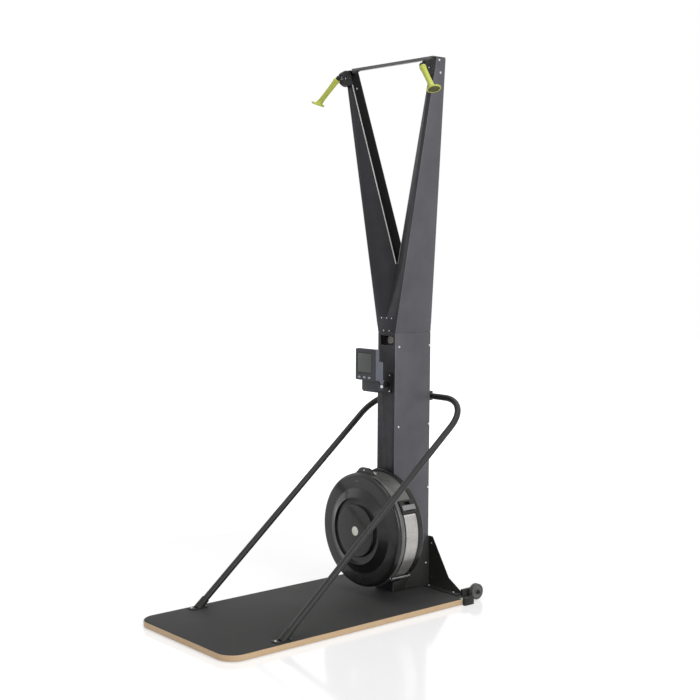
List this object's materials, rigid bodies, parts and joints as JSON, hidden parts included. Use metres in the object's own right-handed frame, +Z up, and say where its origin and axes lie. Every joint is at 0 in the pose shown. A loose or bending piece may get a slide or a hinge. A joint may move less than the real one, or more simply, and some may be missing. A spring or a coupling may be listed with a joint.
{
  "type": "ski trainer machine",
  "caption": "Floor-standing ski trainer: a forked tower on a deck with a bent-tube brace, two pull handles on cords, a fan flywheel with damper and a tilting monitor.",
  "frame": {"origin": "on the floor, in the middle of the machine's bounding box", "axes": "+X to the user's right, +Y from the user towards the tower, +Z up"},
  "size_m": [0.7318, 1.27, 2.15],
  "materials": {
    "panel_paint": "satin dark gray powder coat",
    "dark_paint": "satin black powder coat",
    "black_steel": "black powder coat, fine orange peel",
    "black_plastic": "fine moulded texture",
    "bright_steel": "perforated bright sheet",
    "bolt_steel": "zinc plated",
    "plywood": "lacquered birch plywood, plies showing at the edge",
    "laminate": "black non-slip deck laminate",
    "rubber": "matt rubber",
    "lime_grip": "soft lime grip",
    "nylon": "natural nylon",
    "cord": "braided black cord",
    "screen": "gray display window",
    "button": "light gray rubber key",
    "cast_rotor": "as-cast rotor"
  },
  "bodies": {
    "root": {"deck_board": "plywood", "deck_surface": "laminate", "deck_pad_front": "rubber", "deck_pad_rear": "rubber", "rear_cross_member": "black_steel", "brace_tube": "black_steel", "brace_clamp": "black_steel", "tower_front_panel": "dark_paint", "tower_rear_panel": "dark_paint", "tower_side_left": "panel_paint", "tower_side_right": "panel_paint", "junction_plate": "dark_paint", "top_crossbar": "black_steel", "idler_bracket": "bolt_steel", "bearing_front": "bolt_steel", "bearing_rear": "bolt_steel", "fan_case_front": "black_plastic", "fan_case_back": "black_plastic", "perforated_band": "bright_steel", "top_wrap": "black_plastic", "damper_housing": "black_plastic", "monitor_arm": "black_plastic", "return_cord": "cord", "gusset_left": "black_steel", "brace_foot_left": "black_steel", "arm_outer_left": "panel_paint", "arm_front_left": "dark_paint", "arm_rear_left": "dark_paint", "pulley_housing_left": "black_plastic", "pulley_bolt_left": "bolt_steel", "drive_cord_left": "cord", "gusset_right": "black_steel", "brace_foot_right": "black_steel", "arm_outer_right": "panel_paint", "arm_front_right": "dark_paint", "arm_rear_right": "dark_paint", "pulley_housing_right": "black_plastic", "pulley_bolt_right": "bolt_steel", "drive_cord_right": "cord"},
    "fan": {"fan_rotor": "cast_rotor", "fan_shaft": "bolt_steel"},
    "damper": {"damper_lever": "black_plastic"},
    "monitor": {"monitor_case": "black_plastic", "monitor_screen": "screen", "monitor_pivot": "bolt_steel"},
    "cord_stop_left": {"cord_stop_left": "rubber"},
    "handle_left": {"handle_left": "lime_grip"},
    "top_pulley_left": {"top_pulley_left": "nylon"},
    "idler_left": {"idler_left": "nylon"},
    "cord_drum_left": {"cord_drum_left": "nylon"},
    "wheel_left": {"wheel_left": "rubber"},
    "cord_stop_right": {"cord_stop_right": "rubber"},
    "handle_right": {"handle_right": "lime_grip"},
    "top_pulley_right": {"top_pulley_right": "nylon"},
    "idler_right": {"idler_right": "nylon"},
    "cord_drum_right": {"cord_drum_right": "nylon"},
    "wheel_right": {"wheel_right": "rubber"},
    "button_1": {"monitor_button_1": "button"},
    "button_2": {"monitor_button_2": "button"},
    "button_3": {"monitor_button_3": "button"}
  },
  "joints": [
    {"name": "fan_spin", "type": "hinge", "parent": "root", "child": "fan", "pos_m": [0, 0.29, 0.292], "axis": [0, -1, 0], "continuous": true},
    {"name": "cord_pull_left", "type": "slide", "parent": "root", "child": "cord_stop_left", "axis": [0, -0.5, -0.866], "range_m": [0, 1.3], "stiffness_N_per_m": 12, "springref_m": -0.8},
    {"name": "handle_swing_left", "type": "hinge", "parent": "cord_stop_left", "child": "handle_left", "pos_m": [-0.24383, 0.296, 2.10625], "axis": [-0.2529, -0.8379, 0.4838], "range_deg": [-5, 35]},
    {"name": "top_pulley_spin_left", "type": "hinge", "parent": "root", "child": "top_pulley_left", "pos_m": [-0.244, 0.335, 2.107], "axis": [0.9756, 0, 0.2198], "range_deg": [0, 3135]},
    {"name": "idler_spin_left", "type": "hinge", "parent": "root", "child": "idler_left", "pos_m": [-0.019, 0.395, 1.047], "axis": [0, -1, 0], "range_deg": [0, 5405]},
    {"name": "drum_spin_left", "type": "hinge", "parent": "root", "child": "cord_drum_left", "pos_m": [0, 0.383, 0.292], "axis": [0, -1, 0], "range_deg": [0, 3272]},
    {"name": "wheel_spin_left", "type": "hinge", "parent": "root", "child": "wheel_left", "pos_m": [-0.2743, 0.603, 0.034], "axis": [1, 0, 0], "continuous": true},
    {"name": "cord_pull_right", "type": "slide", "parent": "root", "child": "cord_stop_right", "axis": [0, -0.5, -0.866], "range_m": [0, 1.3], "stiffness_N_per_m": 12, "springref_m": -0.8},
    {"name": "handle_swing_right", "type": "hinge", "parent": "cord_stop_right", "child": "handle_right", "pos_m": [0.24383, 0.296, 2.10625], "axis": [-0.2529, 0.8379, -0.4838], "range_deg": [-5, 35]},
    {"name": "top_pulley_spin_right", "type": "hinge", "parent": "root", "child": "top_pulley_right", "pos_m": [0.244, 0.335, 2.107], "axis": [0.9756, 0, -0.2198], "range_deg": [0, 3135]},
    {"name": "idler_spin_right", "type": "hinge", "parent": "root", "child": "idler_right", "pos_m": [0.019, 0.395, 1.047], "axis": [0, 1, 0], "range_deg": [0, 5405]},
    {"name": "drum_spin_right", "type": "hinge", "parent": "root", "child": "cord_drum_right", "pos_m": [0, 0.409, 0.292], "axis": [0, -1, 0], "range_deg": [0, 3272]},
    {"name": "wheel_spin_right", "type": "hinge", "parent": "root", "child": "wheel_right", "pos_m": [0.2743, 0.603, 0.034], "axis": [1, 0, 0], "continuous": true},
    {"name": "damper_set", "type": "hinge", "parent": "root", "child": "damper", "pos_m": [0, 0.2875, 0.292], "axis": [0, -1, 0], "range_deg": [0, 7]},
    {"name": "monitor_tilt", "type": "hinge", "parent": "root", "child": "monitor", "pos_m": [0, 0.28, 0.869], "axis": [1, 0, 0], "range_deg": [-15, 25]},
    {"name": "button_1_press", "type": "slide", "parent": "monitor", "child": "button_1", "axis": [0, 1, 0], "range_m": [0, 0.0012], "stiffness_N_per_m": 500},
    {"name": "button_2_press", "type": "slide", "parent": "monitor", "child": "button_2", "axis": [0, 1, 0], "range_m": [0, 0.0012], "stiffness_N_per_m": 500},
    {"name": "button_3_press", "type": "slide", "parent": "monitor", "child": "button_3", "axis": [0, 1, 0], "range_m": [0, 0.0012], "stiffness_N_per_m": 500}
  ],
  "couplings": [
    {"joint": "top_pulley_spin_left", "follows": "cord_pull_left", "rad_per_m": 42.017},
    {"joint": "idler_spin_left", "follows": "cord_pull_left", "rad_per_m": 72.464},
    {"joint": "drum_spin_left", "follows": "cord_pull_left", "rad_per_m": 43.86},
    {"joint": "top_pulley_spin_right", "follows": "cord_pull_right", "rad_per_m": 42.017},
    {"joint": "idler_spin_right", "follows": "cord_pull_right", "rad_per_m": 72.464},
    {"joint": "drum_spin_right", "follows": "cord_pull_right", "rad_per_m": 43.86}
  ]
}
